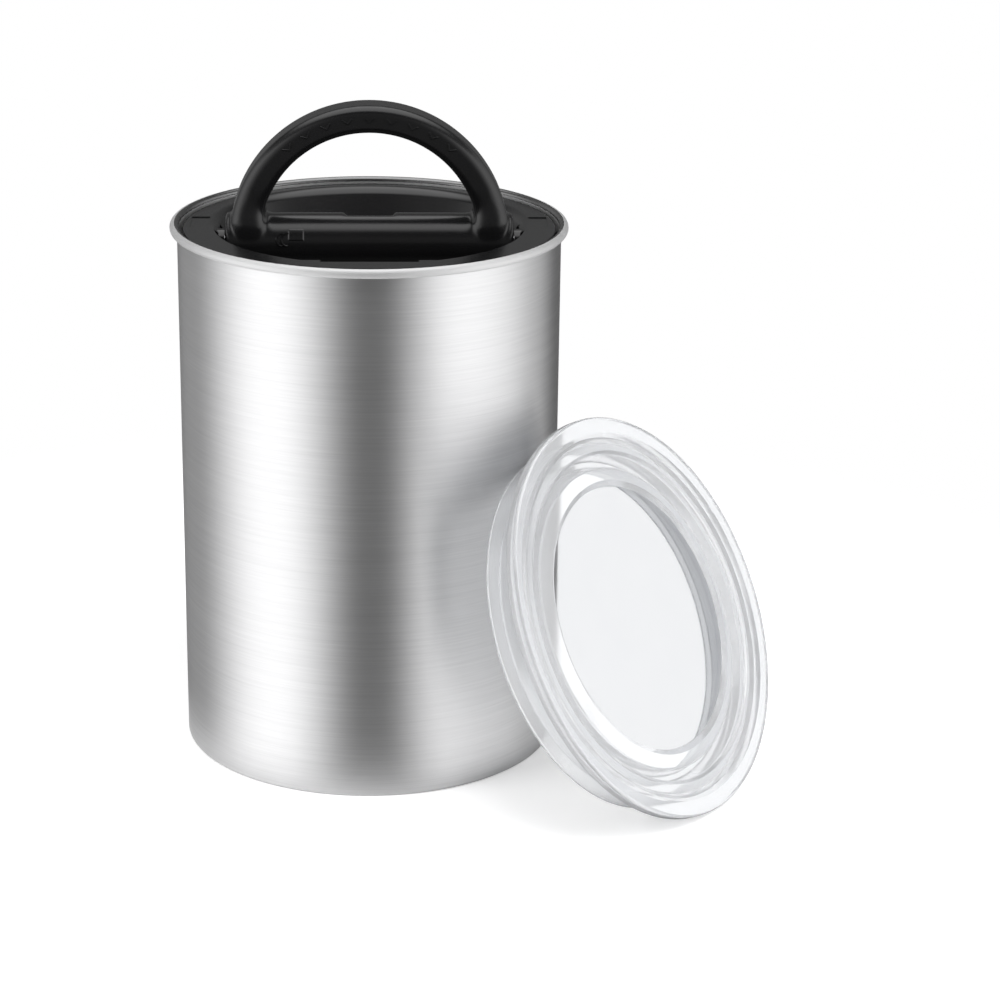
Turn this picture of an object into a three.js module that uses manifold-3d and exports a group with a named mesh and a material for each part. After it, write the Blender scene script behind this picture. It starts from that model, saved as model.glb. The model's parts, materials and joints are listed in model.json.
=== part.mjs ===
// A plunger-lid coffee canister. A drawn steel body holds the beans, an inner lid with a sliding
// seal is pushed down onto them, and the lid's folding handle works an air valve through a cam.
// A clear outer lid, taken off, leans against the body.
// Millimetres, +Z up. The origin is the centre of the body's flat base, X runs along the
// handle's pivot and -Y is the front, where the handle folds to.

import * as THREE from 'three';
import { mergeVertices } from 'three/addons/utils/BufferGeometryUtils.js';
import Module from 'manifold-3d';

const wasm = await Module();
wasm.setup();

// Clearance between pieces that seat on each other
const FIT = 0.3;

// Steel body
const BODY_RADIUS = 63.5;
const BODY_HEIGHT = 180;
const SHEET = 0.6;
const BASE_EDGE_ROUND = 1.6;
const RIM_BEAD_RADIUS = 1.5;
const BASE_GROOVE_RADIUS = 46;
const BASE_GROOVE_WIDTH = 5;
const BASE_GROOVE_DEPTH = 0.9;

// Inner lid housing
const LID_DROP = 1.5;
const LID_EDGE_GAP = 1.2;
const LID_EDGE_ROUND = 0.8;
const RING_WIDTH = 10.4;
const PLATE_STEP = 0.6;
const STEP_LINE_SETBACK = 4;
const LID_WALL = 2;
const WELL_DRAFT = 1;
const WELL_FLOOR_ROUND = 2;
const DISH_SLOPE = THREE.MathUtils.degToRad(60);
const DISH_TOP_ROUND = 8;
const DISH_FLOOR_ROUND = 10;
const FINGER_TAB_DEPTH = 2.6;
const FINGER_TAB_HEIGHT = 5;
const CATCH_DEPTH = 6.5;
const CATCH_INSIDE = 15.6;
const CATCH_OUTSIDE = 26;
const CATCH_DROP = 0.6;
const CATCH_THICKNESS = 2;
const VENT_RADIUS = 1.4;
const VENT_CIRCLE_RADIUS = 12.5;
const VENT_COUNT = 4;

// Sliding seal
const SEAL_TOP_DROP = 4;
const SEAL_HEIGHT = 12;
const SEAL_GROOVE_DEPTH = 4.2;
const SEAL_WEB = 1.3;
const SEAL_LIP = 1;
const SEAL_LIP_COUNT = 3;
const SEAL_LIP_RISE = 2;
const SKIRT_GAP = 2.1;

// Folding handle
const HANDLE_DEPTH = 11;
const HANDLE_TOP_WIDTH = 8.8;
const HANDLE_LEG_WIDTH = 10.5;
const HANDLE_GAP = 4.3;
const HANDLE_SQUARENESS = 2.6;
const FOLD_INSET = 0.1;
const LEG_FLARE = 2.4;
const LEG_FLARE_HEIGHT = 6;
const BARREL_RADIUS = 9.4;
const BARREL_END_GAP = 3.8;
const BARREL_END_ROUND = 1.2;
const BARREL_CLEARANCE = 0.8;
const THUMB_FLAT_LENGTH = 16.6;
const THUMB_FLAT_DEPTH = 1;
const THUMB_FLAT_TILT = THREE.MathUtils.degToRad(14);
const CAM_LIFT = 2.2;
const CAM_NOSE_RADIUS = 3;
const CAM_WIDTH = 9;
const PIN_RADIUS = 2;
const PIN_SHOWN = 2.3;
const PIN_GRIP = 7;
const PIN_END_ROUND = 0.5;

// Air valve
const STEM_RADIUS = 3;
const STEM_HEAD_RADIUS = 5.4;
const STEM_HEAD_HEIGHT = 1.7;
const STEM_EDGE_ROUND = 0.6;
const STEM_COLLAR_RADIUS = 4.6;
const STEM_COLLAR_HEIGHT = 1.2;
const HEAD_CLEARANCE = 0.8;
const SPRING_LENGTH = 5.4;
const SPRING_RADIUS = 4.6;
const SPRING_WIRE_RADIUS = 0.4;
const SPRING_TURNS = 3.5;
const SPRING_CUP_RADIUS = 6.2;
const PORT_RADIUS = 7.5;
const SEAT_LIP_WIDTH = 1.5;
const SEAT_LIP_HEIGHT = 0.8;
const DISC_RADIUS = 11;
const DISC_THICKNESS = 2;
const RETAINER_RADIUS = 6;
const RETAINER_HEIGHT = 1.5;
const RING_EDGE_ROUND = 0.4;

// Inner lid base
const BASE_WALL = 2.2;
const VALVE_GUARD = 0.5;
const VALVE_ROOF_RADIUS = 15;
const VALVE_ROOF_SPREAD = 6;
const VALVE_ROOF_WALL = 1.4;
const SPIGOT_WIDTH = 2;
const SPIGOT_HEIGHT = 5;

// Clear outer lid
const CLEAR_OVERHANG = 1.7;
const CLEAR_FLANGE = 4.2;
const CLEAR_EDGE_ROUND = 1.2;
const CLEAR_BORE_GAP = 0.9;
const CLEAR_DEPTH = 18;
const CLEAR_TAPER = 1.2;
const CLEAR_WALL = 2.2;
const CLEAR_RIM_LAND = 5.4;
const CLEAR_STEP_1_RUN = 2;
const CLEAR_STEP_1_DROP = 1.2;
const CLEAR_MIDDLE_LAND = 3.8;
const CLEAR_STEP_2_RUN = 1;
const CLEAR_STEP_2_DROP = 1;
const CLEAR_INNER_LAND = 8.9;
const CLEAR_STEP_3_RUN = 1.9;
const CLEAR_STEP_3_DROP = 1.2;
const CLEAR_STEP_ROUND = 0.4;
const CLEAR_COLLAR_DEPTH = 17.4;
const CLEAR_COLLAR_TAPER = 0.9;
const CLEAR_ROOT_ROUND = 1;
const CLEAR_END_ROUND = 0.6;

// How the clear lid leans: the bearing of its centre round the body, counted from the front,
// the turn of its face from that bearing, and the rise of its axis above level
const LEAN_BEARING = THREE.MathUtils.degToRad(57.6);
const LEAN_TURN = THREE.MathUtils.degToRad(-2.1);
const LEAN_RISE = THREE.MathUtils.degToRad(27.2);

// Fineness of round forms
const ROUND_SEGMENTS = 48;
const SMALL_SEGMENTS = 20;
const ARC_TOLERANCE = 0.1;
const ARCH_STEPS = 32;
const ARCH_SECTION_POINTS = 16;
const SPRING_STEPS_PER_TURN = 12;
const SPRING_SIDES = 6;
const SAME_POINT = 1e-4;

// Radii that follow from the body and the clearances
const boreRadius = BODY_RADIUS - SHEET;
const beadCentre = boreRadius + RIM_BEAD_RADIUS;
const ringRadius = boreRadius - LID_EDGE_GAP;
const wellRadius = ringRadius - RING_WIDTH;
const skirtRadius = boreRadius - SKIRT_GAP;
const sealGrooveRadius = ringRadius - SEAL_GROOVE_DEPTH;
const archRadius = wellRadius - HANDLE_GAP;
const barrelHalf = wellRadius - BARREL_END_GAP;
const troughRadius = BARREL_RADIUS + BARREL_CLEARANCE;
const troughHalf = barrelHalf + PIN_SHOWN;

// Levels in the inner lid, counted down from the top of its front plate
const pivotZ = -(HANDLE_DEPTH / 2 + FOLD_INSET);
const headTop = pivotZ - BARREL_RADIUS - CAM_LIFT - FIT;
const headUnder = headTop - STEM_HEAD_HEIGHT;
const floorZ = headUnder - HEAD_CLEARANCE;
const springSeat = headUnder - SPRING_LENGTH - 2 * FIT;
const cupUnder = springSeat - LID_WALL;
const roofTop = cupUnder - FIT;
const roofUnder = roofTop - BASE_WALL;
const seatZ = roofUnder - SEAT_LIP_HEIGHT;
const discTop = seatZ - FIT - CAM_LIFT;
const discUnder = discTop - DISC_THICKNESS;
const retainerTop = discUnder - FIT;
const retainerUnder = retainerTop - RETAINER_HEIGHT;
const lidUnder = retainerUnder - VALVE_GUARD;
const skirtUnder = lidUnder + BASE_WALL + FIT;
const grooveUnder = -(SEAL_TOP_DROP + SEAL_HEIGHT + 2 * FIT);

// Materials
const brushedSteel = new THREE.MeshStandardMaterial({ color: 0xb9b9ba, roughness: 0.34, metalness: 1 });
const brightSteel = new THREE.MeshStandardMaterial({ color: 0xc8c8ca, roughness: 0.2, metalness: 1 });
const blackPlastic = new THREE.MeshStandardMaterial({ color: 0x2b2b2c, roughness: 0.5, metalness: 0 });
const blackRubber = new THREE.MeshStandardMaterial({ color: 0x151515, roughness: 0.8, metalness: 0 });
const greyPlastic = new THREE.MeshStandardMaterial({ color: 0x6a6c6e, roughness: 0.5, metalness: 0 });
const clearPlastic = new THREE.MeshStandardMaterial({
  color: 0xf2f5f6,
  roughness: 0.06,
  metalness: 0,
  transparent: true,
  opacity: 0.35,
});

// A geometry as a solid that can be joined and cut
function solid(geometry) {
  const bare = geometry.clone();
  bare.deleteAttribute('normal');
  bare.deleteAttribute('uv');
  const merged = mergeVertices(bare, SAME_POINT);
  const index = Array.from(merged.index.array);
  const corners = [];
  for (let i = 0; i < index.length; i += 3) {
    const [a, b, c] = index.slice(i, i + 3);
    if (a !== b && b !== c && c !== a) {
      corners.push(a, b, c);
    }
  }
  return new wasm.Manifold(new wasm.Mesh({
    numProp: 3,
    vertProperties: new Float32Array(merged.attributes.position.array),
    triVerts: new Uint32Array(corners),
  }));
}

function piece(name, body, material) {
  const { vertProperties, triVerts } = body.getMesh();
  const geometry = new THREE.BufferGeometry();
  geometry.setAttribute('position', new THREE.BufferAttribute(vertProperties, 3));
  geometry.setIndex(new THREE.BufferAttribute(triVerts, 1));
  geometry.computeVertexNormals();
  const mesh = new THREE.Mesh(geometry, material);
  mesh.name = name;
  return mesh;
}

// A section's corners [radius, height, rounding], with each rounding drawn as an arc
function roundedSection(corners) {
  const at = corners.map(([r, z]) => new THREE.Vector2(r, z));
  return corners.flatMap(([, , rounding = 0], i) => {
    if (rounding === 0) {
      return [at[i]];
    }
    const back = at.at(i - 1).clone().sub(at[i]).normalize();
    const ahead = at[(i + 1) % at.length].clone().sub(at[i]).normalize();
    const halfAngle = Math.acos(THREE.MathUtils.clamp(back.dot(ahead), -1, 1)) / 2;
    const inward = back.clone().add(ahead).normalize();
    const centre = at[i].clone().addScaledVector(inward, rounding / Math.sin(halfAngle));
    const start = at[i].clone().addScaledVector(back, rounding / Math.tan(halfAngle));
    const sweep = (Math.PI - 2 * halfAngle) * Math.sign(ahead.cross(back));
    const stepAngle = 2 * Math.acos(Math.max(0, 1 - ARC_TOLERANCE / rounding));
    const steps = Math.max(1, Math.round(Math.abs(sweep) / stepAngle));
    const arc = [];
    for (let k = 0; k <= steps; k += 1) {
      arc.push(start.clone().rotateAround(centre, sweep * k / steps));
    }
    return arc;
  });
}

// A section turned about Z: it starts and ends on the axis, or is closed to a ring
function turned(corners, segments = ROUND_SEGMENTS) {
  const section = roundedSection(corners);
  if (section[0].x > 0) {
    section.push(section[0].clone());
  }
  return new THREE.LatheGeometry(section, segments).rotateX(Math.PI / 2);
}

// A round bar along X between two ends
function barAlongX(radius, from, to, rounding = 0, segments = SMALL_SEGMENTS) {
  const section = [[0, from], [radius, from, rounding], [radius, to, rounding], [0, to]];
  return turned(section, segments).rotateY(Math.PI / 2);
}

// A box between two corners
function block(low, high) {
  const [sizeX, sizeY, sizeZ] = high.map((value, i) => value - low[i]);
  const geometry = new THREE.BoxGeometry(sizeX, sizeY, sizeZ);
  return geometry.translate(low[0] + sizeX / 2, low[1] + sizeY / 2, low[2] + sizeZ / 2);
}

// A skin through rings of equally many points, closed by a fan at each end
function loft(rings) {
  const count = rings[0].length;
  const points = rings.flat();
  const last = (rings.length - 1) * count;
  const triangles = [];
  for (let i = 0; i < rings.length - 1; i += 1) {
    for (let j = 0; j < count; j += 1) {
      const next = (j + 1) % count;
      const [a, b] = [i * count + j, i * count + next];
      triangles.push(a, b, b + count, a, b + count, a + count);
    }
  }
  for (let j = 1; j < count - 1; j += 1) {
    triangles.push(0, j + 1, j);
    triangles.push(last, last + j, last + j + 1);
  }
  const geometry = new THREE.BufferGeometry().setFromPoints(points);
  return geometry.setIndex(triangles);
}

// Body: one drawn steel cup with a pressed groove in its base and its edge rolled out to a bead
function canisterShell() {
  const wallTop = BODY_HEIGHT - RIM_BEAD_RADIUS;
  const grooveIn = BASE_GROOVE_RADIUS - BASE_GROOVE_WIDTH / 2;
  const grooveOut = BASE_GROOVE_RADIUS + BASE_GROOVE_WIDTH / 2;
  const cup = turned([
    [0, 0],
    [grooveIn, 0],
    [grooveIn + BASE_GROOVE_DEPTH, BASE_GROOVE_DEPTH],
    [grooveOut - BASE_GROOVE_DEPTH, BASE_GROOVE_DEPTH],
    [grooveOut, 0],
    [BODY_RADIUS, 0, BASE_EDGE_ROUND],
    [BODY_RADIUS, wallTop],
    [boreRadius, wallTop],
    [boreRadius, SHEET, BASE_EDGE_ROUND - SHEET],
    [grooveOut + SHEET, SHEET],
    [grooveOut - BASE_GROOVE_DEPTH, SHEET + BASE_GROOVE_DEPTH],
    [grooveIn + BASE_GROOVE_DEPTH, SHEET + BASE_GROOVE_DEPTH],
    [grooveIn - SHEET, SHEET],
    [0, SHEET],
  ]);
  const bead = turned([
    [boreRadius, wallTop - RIM_BEAD_RADIUS, RIM_BEAD_RADIUS],
    [beadCentre + RIM_BEAD_RADIUS, wallTop - RIM_BEAD_RADIUS, RIM_BEAD_RADIUS],
    [beadCentre + RIM_BEAD_RADIUS, BODY_HEIGHT, RIM_BEAD_RADIUS],
    [boreRadius, BODY_HEIGHT, RIM_BEAD_RADIUS],
  ]);
  return solid(cup).add(solid(bead));
}

// Housing of the inner lid. Its rear half is a dish with a wide soft edge, and its front half a
// slightly raised plate round a straight-sided well that takes the folded handle.
function lidHousing() {
  const rimAndSkirt = (top) => [
    [0, skirtUnder],
    [skirtRadius, skirtUnder],
    [skirtRadius, grooveUnder],
    [sealGrooveRadius, grooveUnder],
    [sealGrooveRadius, -SEAL_TOP_DROP],
    [ringRadius, -SEAL_TOP_DROP],
    [ringRadius, top, LID_EDGE_ROUND],
  ];
  const rearTop = -PLATE_STEP;
  const dishRun = (rearTop - floorZ) / Math.tan(DISH_SLOPE);
  const rearOutside = turned([
    ...rimAndSkirt(rearTop),
    [wellRadius, rearTop, DISH_TOP_ROUND],
    [wellRadius - dishRun, floorZ, DISH_FLOOR_ROUND],
    [0, floorZ],
  ]);
  const frontOutside = turned([
    ...rimAndSkirt(0),
    [wellRadius, 0],
    [wellRadius - WELL_DRAFT, floorZ, WELL_FLOOR_ROUND],
    [0, floorZ],
  ]);

  const skirtInside = (ceiling) => [
    [0, skirtUnder - LID_WALL],
    [skirtRadius - LID_WALL, skirtUnder - LID_WALL],
    [skirtRadius - LID_WALL, grooveUnder - LID_WALL],
    [sealGrooveRadius - LID_WALL, grooveUnder - LID_WALL],
    [sealGrooveRadius - LID_WALL, ceiling],
  ];
  const underFloor = floorZ - LID_WALL;
  const dishWallShift = LID_WALL / Math.sin(DISH_SLOPE);
  const dishUnderRadius = (z) => wellRadius + (z - rearTop) / Math.tan(DISH_SLOPE) + dishWallShift;
  const rearCeiling = rearTop - SEAL_TOP_DROP;
  const rearInside = turned([
    ...skirtInside(rearCeiling),
    [dishUnderRadius(rearCeiling), rearCeiling],
    [dishUnderRadius(underFloor), underFloor],
    [0, underFloor],
  ]);
  const frontInside = turned([
    ...skirtInside(-LID_WALL),
    [wellRadius + LID_WALL, -LID_WALL],
    [wellRadius + LID_WALL, underFloor],
    [0, underFloor],
  ]);

  const reach = 2 * BODY_RADIUS;
  const halves = (rear, front, webHalf) => {
    const behind = block([-reach, webHalf - STEP_LINE_SETBACK, -reach], [reach, reach, reach]);
    const ahead = block([-reach, -reach, -reach], [reach, -webHalf - STEP_LINE_SETBACK, reach]);
    return solid(rear).intersect(solid(behind)).add(solid(front).intersect(solid(ahead)));
  };
  const bossRadius = troughRadius + LID_WALL;
  const boss = solid(barAlongX(bossRadius, -reach, reach).translate(0, 0, pivotZ));
  const bossFace = troughHalf - LID_WALL;
  const betweenBosses = solid(block([-bossFace, -reach, -reach], [bossFace, reach, reach]));
  const chamber = solid(turned([
    [0, skirtUnder - LID_WALL],
    [skirtRadius - LID_WALL, skirtUnder - LID_WALL],
    [skirtRadius - LID_WALL, underFloor],
    [0, underFloor],
  ]));
  const pockets = halves(rearInside, frontInside, LID_WALL / 2).subtract(boss.subtract(betweenBosses));
  const hollow = pockets.add(chamber);

  const wellDisc = solid(turned([
    [0, -reach],
    [wellRadius + LID_WALL / 2, -reach],
    [wellRadius + LID_WALL / 2, reach],
    [0, reach],
  ]));
  const tabY = -(wellRadius - FINGER_TAB_DEPTH);
  const tab = solid(block([-reach, -reach, -FINGER_TAB_HEIGHT], [reach, tabY, 0]));
  const catchY = -(wellRadius - CATCH_DEPTH);
  const catchTop = -CATCH_DROP;
  const catchUnder = catchTop - CATCH_THICKNESS;
  const rightCatch = block([CATCH_INSIDE, -reach, catchUnder], [CATCH_OUTSIDE, catchY, catchTop]);
  const leftCatch = block([-CATCH_OUTSIDE, -reach, catchUnder], [-CATCH_INSIDE, catchY, catchTop]);
  const ledges = tab.add(solid(rightCatch)).add(solid(leftCatch)).intersect(wellDisc);

  const cup = solid(turned([
    [0, cupUnder],
    [SPRING_CUP_RADIUS + LID_WALL, cupUnder],
    [SPRING_CUP_RADIUS + LID_WALL, floorZ - LID_WALL / 2],
    [0, floorZ - LID_WALL / 2],
  ], SMALL_SEGMENTS));
  const springPocket = solid(turned([
    [0, cupUnder - LID_WALL],
    [STEM_RADIUS + FIT, cupUnder - LID_WALL],
    [STEM_RADIUS + FIT, springSeat],
    [SPRING_CUP_RADIUS, springSeat],
    [SPRING_CUP_RADIUS, pivotZ],
    [0, pivotZ],
  ], SMALL_SEGMENTS));
  const trough = barAlongX(troughRadius, -troughHalf, troughHalf, 0, ROUND_SEGMENTS);
  trough.translate(0, 0, pivotZ);
  const pinEnd = troughHalf + PIN_GRIP + FIT;
  const pinBore = solid(barAlongX(PIN_RADIUS + FIT, -pinEnd, pinEnd).translate(0, 0, pivotZ));

  let housing = halves(rearOutside, frontOutside, 0).subtract(hollow).add(ledges).add(cup);
  housing = housing.subtract(springPocket).subtract(solid(trough)).subtract(pinBore);
  for (let i = 0; i < VENT_COUNT; i += 1) {
    const angle = (i + 0.5) * 2 * Math.PI / VENT_COUNT;
    const vent = turned([
      [0, underFloor - LID_WALL],
      [VENT_RADIUS, underFloor - LID_WALL],
      [VENT_RADIUS, floorZ + LID_WALL],
      [0, floorZ + LID_WALL],
    ], SMALL_SEGMENTS / 2);
    vent.translate(VENT_CIRCLE_RADIUS * Math.cos(angle), VENT_CIRCLE_RADIUS * Math.sin(angle), 0);
    housing = housing.subtract(solid(vent));
  }
  return housing;
}

// Base of the inner lid: a plate that closes the housing, raised in the middle over the valve
function lidBase() {
  const spigotRadius = skirtRadius - LID_WALL - FIT;
  const plateTop = lidUnder + BASE_WALL;
  return solid(turned([
    [PORT_RADIUS, seatZ],
    [PORT_RADIUS + SEAT_LIP_WIDTH, seatZ],
    [PORT_RADIUS + SEAT_LIP_WIDTH, roofUnder],
    [VALVE_ROOF_RADIUS, roofUnder],
    [VALVE_ROOF_RADIUS + VALVE_ROOF_SPREAD, lidUnder],
    [skirtRadius, lidUnder, LID_EDGE_ROUND],
    [skirtRadius, plateTop],
    [spigotRadius, plateTop],
    [spigotRadius, plateTop + SPIGOT_HEIGHT],
    [spigotRadius - SPIGOT_WIDTH, plateTop + SPIGOT_HEIGHT],
    [spigotRadius - SPIGOT_WIDTH, plateTop],
    [VALVE_ROOF_RADIUS + VALVE_ROOF_SPREAD + VALVE_ROOF_WALL, plateTop],
    [VALVE_ROOF_RADIUS + VALVE_ROOF_WALL, roofTop],
    [PORT_RADIUS, roofTop],
  ]));
}

// Sliding seal: a soft ring stretched into the housing's groove, with lips that wipe the bore
function lidSeal() {
  const inside = sealGrooveRadius + FIT;
  const web = inside + SEAL_WEB;
  const lipTip = boreRadius - FIT;
  const bottom = grooveUnder + FIT;
  const pitch = SEAL_HEIGHT / SEAL_LIP_COUNT;
  const section = [[inside, bottom]];
  for (let i = 0; i < SEAL_LIP_COUNT; i += 1) {
    const root = bottom + i * pitch;
    section.push([web, root]);
    section.push([lipTip, root + SEAL_LIP_RISE]);
    section.push([web, root + SEAL_LIP]);
  }
  section.push([web, bottom + SEAL_HEIGHT]);
  section.push([inside, bottom + SEAL_HEIGHT]);
  return solid(turned(section));
}

// Folding handle: a round arch on a barrel, moulded in one, with a cam nose under the barrel
function handle() {
  const rings = [];
  for (let i = 0; i <= ARCH_STEPS; i += 1) {
    const angle = Math.PI * i / ARCH_STEPS;
    const height = archRadius * Math.sin(angle);
    const legShare = 1 - Math.sin(angle);
    const width = THREE.MathUtils.lerp(HANDLE_TOP_WIDTH, HANDLE_LEG_WIDTH, legShare);
    const above = THREE.MathUtils.clamp((height - BARREL_RADIUS) / LEG_FLARE_HEIGHT, 0, 1);
    const flare = LEG_FLARE * (1 - above) ** 2;
    const halfWidth = (width + flare) / 2;
    const halfDepth = HANDLE_DEPTH / 2 + flare;
    const middle = archRadius - halfWidth;
    const ring = [];
    for (let j = 0; j < ARCH_SECTION_POINTS; j += 1) {
      const turn = 2 * Math.PI * j / ARCH_SECTION_POINTS;
      const squared = (value) => Math.sign(value) * Math.abs(value) ** (2 / HANDLE_SQUARENESS);
      const radius = middle + halfWidth * squared(Math.cos(turn));
      const depth = halfDepth * squared(Math.sin(turn));
      ring.push(new THREE.Vector3(radius * Math.cos(angle), depth, radius * Math.sin(angle)));
    }
    rings.push(ring);
  }
  const barrel = barAlongX(BARREL_RADIUS, -barrelHalf, barrelHalf, BARREL_END_ROUND, ROUND_SEGMENTS / 2);
  const noseCentre = BARREL_RADIUS + CAM_LIFT - CAM_NOSE_RADIUS;
  const nose = barAlongX(CAM_NOSE_RADIUS, -CAM_WIDTH / 2, CAM_WIDTH / 2).translate(0, 0, -noseCentre);
  const flatHalf = THUMB_FLAT_LENGTH / 2;
  const flatLow = [-flatHalf, -BARREL_RADIUS, BARREL_RADIUS - THUMB_FLAT_DEPTH];
  const flatHigh = [flatHalf, BARREL_RADIUS, 2 * BARREL_RADIUS];
  const flat = block(flatLow, flatHigh).rotateX(-THUMB_FLAT_TILT);
  const pinBoreEnd = barrelHalf - PIN_GRIP - FIT;
  const rightBore = barAlongX(PIN_RADIUS + FIT, pinBoreEnd, 2 * barrelHalf);
  const leftBore = barAlongX(PIN_RADIUS + FIT, -2 * barrelHalf, -pinBoreEnd);
  const arch = solid(loft(rings)).add(solid(barrel)).subtract(solid(flat));
  return arch.add(solid(nose)).subtract(solid(rightBore)).subtract(solid(leftBore));
}

function pivotPin() {
  return solid(barAlongX(PIN_RADIUS, barrelHalf - PIN_GRIP, troughHalf + PIN_GRIP, PIN_END_ROUND));
}

// Valve stem: pushed down by the cam, with a head for the spring and a collar over the disc
function valveStem() {
  const collarUnder = discTop + FIT;
  return solid(turned([
    [0, retainerUnder + FIT],
    [STEM_RADIUS, retainerUnder + FIT],
    [STEM_RADIUS, collarUnder],
    [STEM_COLLAR_RADIUS, collarUnder],
    [STEM_COLLAR_RADIUS, collarUnder + STEM_COLLAR_HEIGHT],
    [STEM_RADIUS, collarUnder + STEM_COLLAR_HEIGHT],
    [STEM_RADIUS, headUnder],
    [STEM_HEAD_RADIUS, headUnder],
    [STEM_HEAD_RADIUS, headTop, STEM_EDGE_ROUND],
    [0, headTop],
  ], SMALL_SEGMENTS));
}

function ringOnStem(radius, under, top) {
  return solid(turned([
    [STEM_RADIUS + FIT, under],
    [radius, under, RING_EDGE_ROUND],
    [radius, top, RING_EDGE_ROUND],
    [STEM_RADIUS + FIT, top],
  ], SMALL_SEGMENTS));
}

// Valve spring: an open helix between the cup's floor and the stem's head
class Helix extends THREE.Curve {
  constructor(radius, low, high, turns) {
    super();
    Object.assign(this, { radius, low, high, turns });
  }

  getPoint(t, target = new THREE.Vector3()) {
    const angle = 2 * Math.PI * this.turns * t;
    const z = THREE.MathUtils.lerp(this.low, this.high, t);
    return target.set(this.radius * Math.cos(angle), this.radius * Math.sin(angle), z);
  }
}

function valveSpring() {
  const low = springSeat + FIT + SPRING_WIRE_RADIUS;
  const high = headUnder - FIT - SPRING_WIRE_RADIUS;
  const wire = new THREE.Shape();
  for (let i = 0; i < SPRING_SIDES; i += 1) {
    const angle = 2 * Math.PI * i / SPRING_SIDES;
    const corner = [SPRING_WIRE_RADIUS * Math.cos(angle), SPRING_WIRE_RADIUS * Math.sin(angle)];
    if (i === 0) {
      wire.moveTo(...corner);
    } else {
      wire.lineTo(...corner);
    }
  }
  return solid(new THREE.ExtrudeGeometry(wire, {
    steps: Math.round(SPRING_TURNS * SPRING_STEPS_PER_TURN),
    extrudePath: new Helix(SPRING_RADIUS, low, high, SPRING_TURNS),
  }));
}

// Clear lid, in its own frame: Z along its axis and the flange's top at zero
const clearFlangeRadius = beadCentre + RIM_BEAD_RADIUS + CLEAR_OVERHANG;
const clearPlugRadius = boreRadius - CLEAR_BORE_GAP;
const clearEndRadius = clearPlugRadius - CLEAR_TAPER;

// The flange covers the bead and low steps lead in to a flat panel. Behind it a skirt fits the bore,
// and a collar inside the skirt keeps the panel flat.
function clearLid() {
  const rimIn = clearFlangeRadius - CLEAR_RIM_LAND;
  const middle = rimIn - CLEAR_STEP_1_RUN;
  const middleZ = -CLEAR_STEP_1_DROP;
  const middleIn = middle - CLEAR_MIDDLE_LAND;
  const inner = middleIn - CLEAR_STEP_2_RUN;
  const innerZ = middleZ - CLEAR_STEP_2_DROP;
  const innerIn = inner - CLEAR_INNER_LAND;
  const panelRadius = innerIn - CLEAR_STEP_3_RUN;
  const panelZ = innerZ - CLEAR_STEP_3_DROP;
  const panelUnder = panelZ - CLEAR_WALL;
  const grooveTop = innerZ - CLEAR_WALL;
  const collarEnd = inner - CLEAR_WALL - CLEAR_COLLAR_TAPER;
  const skirtSlope = CLEAR_TAPER / (CLEAR_DEPTH - CLEAR_FLANGE);
  const skirtInside = (z) => clearEndRadius + (z + CLEAR_DEPTH) * skirtSlope - CLEAR_WALL;
  return solid(turned([
    [0, panelUnder],
    [collarEnd - CLEAR_COLLAR_TAPER, panelUnder, CLEAR_ROOT_ROUND],
    [collarEnd, -CLEAR_COLLAR_DEPTH, CLEAR_END_ROUND],
    [collarEnd + CLEAR_WALL, -CLEAR_COLLAR_DEPTH, CLEAR_END_ROUND],
    [inner, grooveTop, CLEAR_ROOT_ROUND],
    [skirtInside(grooveTop), grooveTop, CLEAR_ROOT_ROUND],
    [skirtInside(-CLEAR_DEPTH), -CLEAR_DEPTH, CLEAR_END_ROUND],
    [clearEndRadius, -CLEAR_DEPTH, CLEAR_END_ROUND],
    [clearPlugRadius, -CLEAR_FLANGE],
    [clearFlangeRadius, -CLEAR_FLANGE, CLEAR_EDGE_ROUND],
    [clearFlangeRadius, 0, CLEAR_EDGE_ROUND],
    [rimIn, 0, CLEAR_STEP_ROUND],
    [middle, middleZ, CLEAR_STEP_ROUND],
    [middleIn, middleZ, CLEAR_STEP_ROUND],
    [inner, innerZ, CLEAR_STEP_ROUND],
    [innerIn, innerZ, CLEAR_STEP_ROUND],
    [panelRadius, panelZ, CLEAR_STEP_ROUND],
    [0, panelZ],
  ]));
}

// The leaning lid's centre is as near the body as the end of its skirt lets it come, and as low
// as its flange or the end of its skirt lets it stand on the floor
function leanPosition() {
  const facing = LEAN_BEARING + LEAN_TURN;
  const bearing = new THREE.Vector2(Math.sin(LEAN_BEARING), -Math.cos(LEAN_BEARING));
  const ahead = new THREE.Vector2(Math.sin(facing), -Math.cos(facing));
  const across = new THREE.Vector2(Math.cos(facing), Math.sin(facing));
  const [level, rise] = [Math.cos(LEAN_RISE), Math.sin(LEAN_RISE)];
  const touch = BODY_RADIUS + FIT;
  let distance = 0;
  for (let i = 0; i < ROUND_SEGMENTS; i += 1) {
    const angle = 2 * Math.PI * i / ROUND_SEGMENTS;
    const edge = across.clone().multiplyScalar(clearEndRadius * Math.cos(angle));
    edge.addScaledVector(ahead, -clearEndRadius * Math.sin(angle) * rise - CLEAR_DEPTH * level);
    const aside = edge.cross(bearing);
    if (Math.abs(aside) < touch) {
      distance = Math.max(distance, Math.sqrt(touch ** 2 - aside ** 2) - edge.dot(bearing));
    }
  }
  const foot = (radius, depth, round) => (radius - round) * level + (depth - round) * rise + round;
  const flangeFoot = foot(clearFlangeRadius, CLEAR_FLANGE, CLEAR_EDGE_ROUND);
  const skirtFoot = foot(clearEndRadius, CLEAR_DEPTH, CLEAR_END_ROUND);
  const centre = bearing.multiplyScalar(distance);
  return new THREE.Vector3(centre.x, centre.y, Math.max(flangeFoot, skirtFoot));
}

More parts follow.
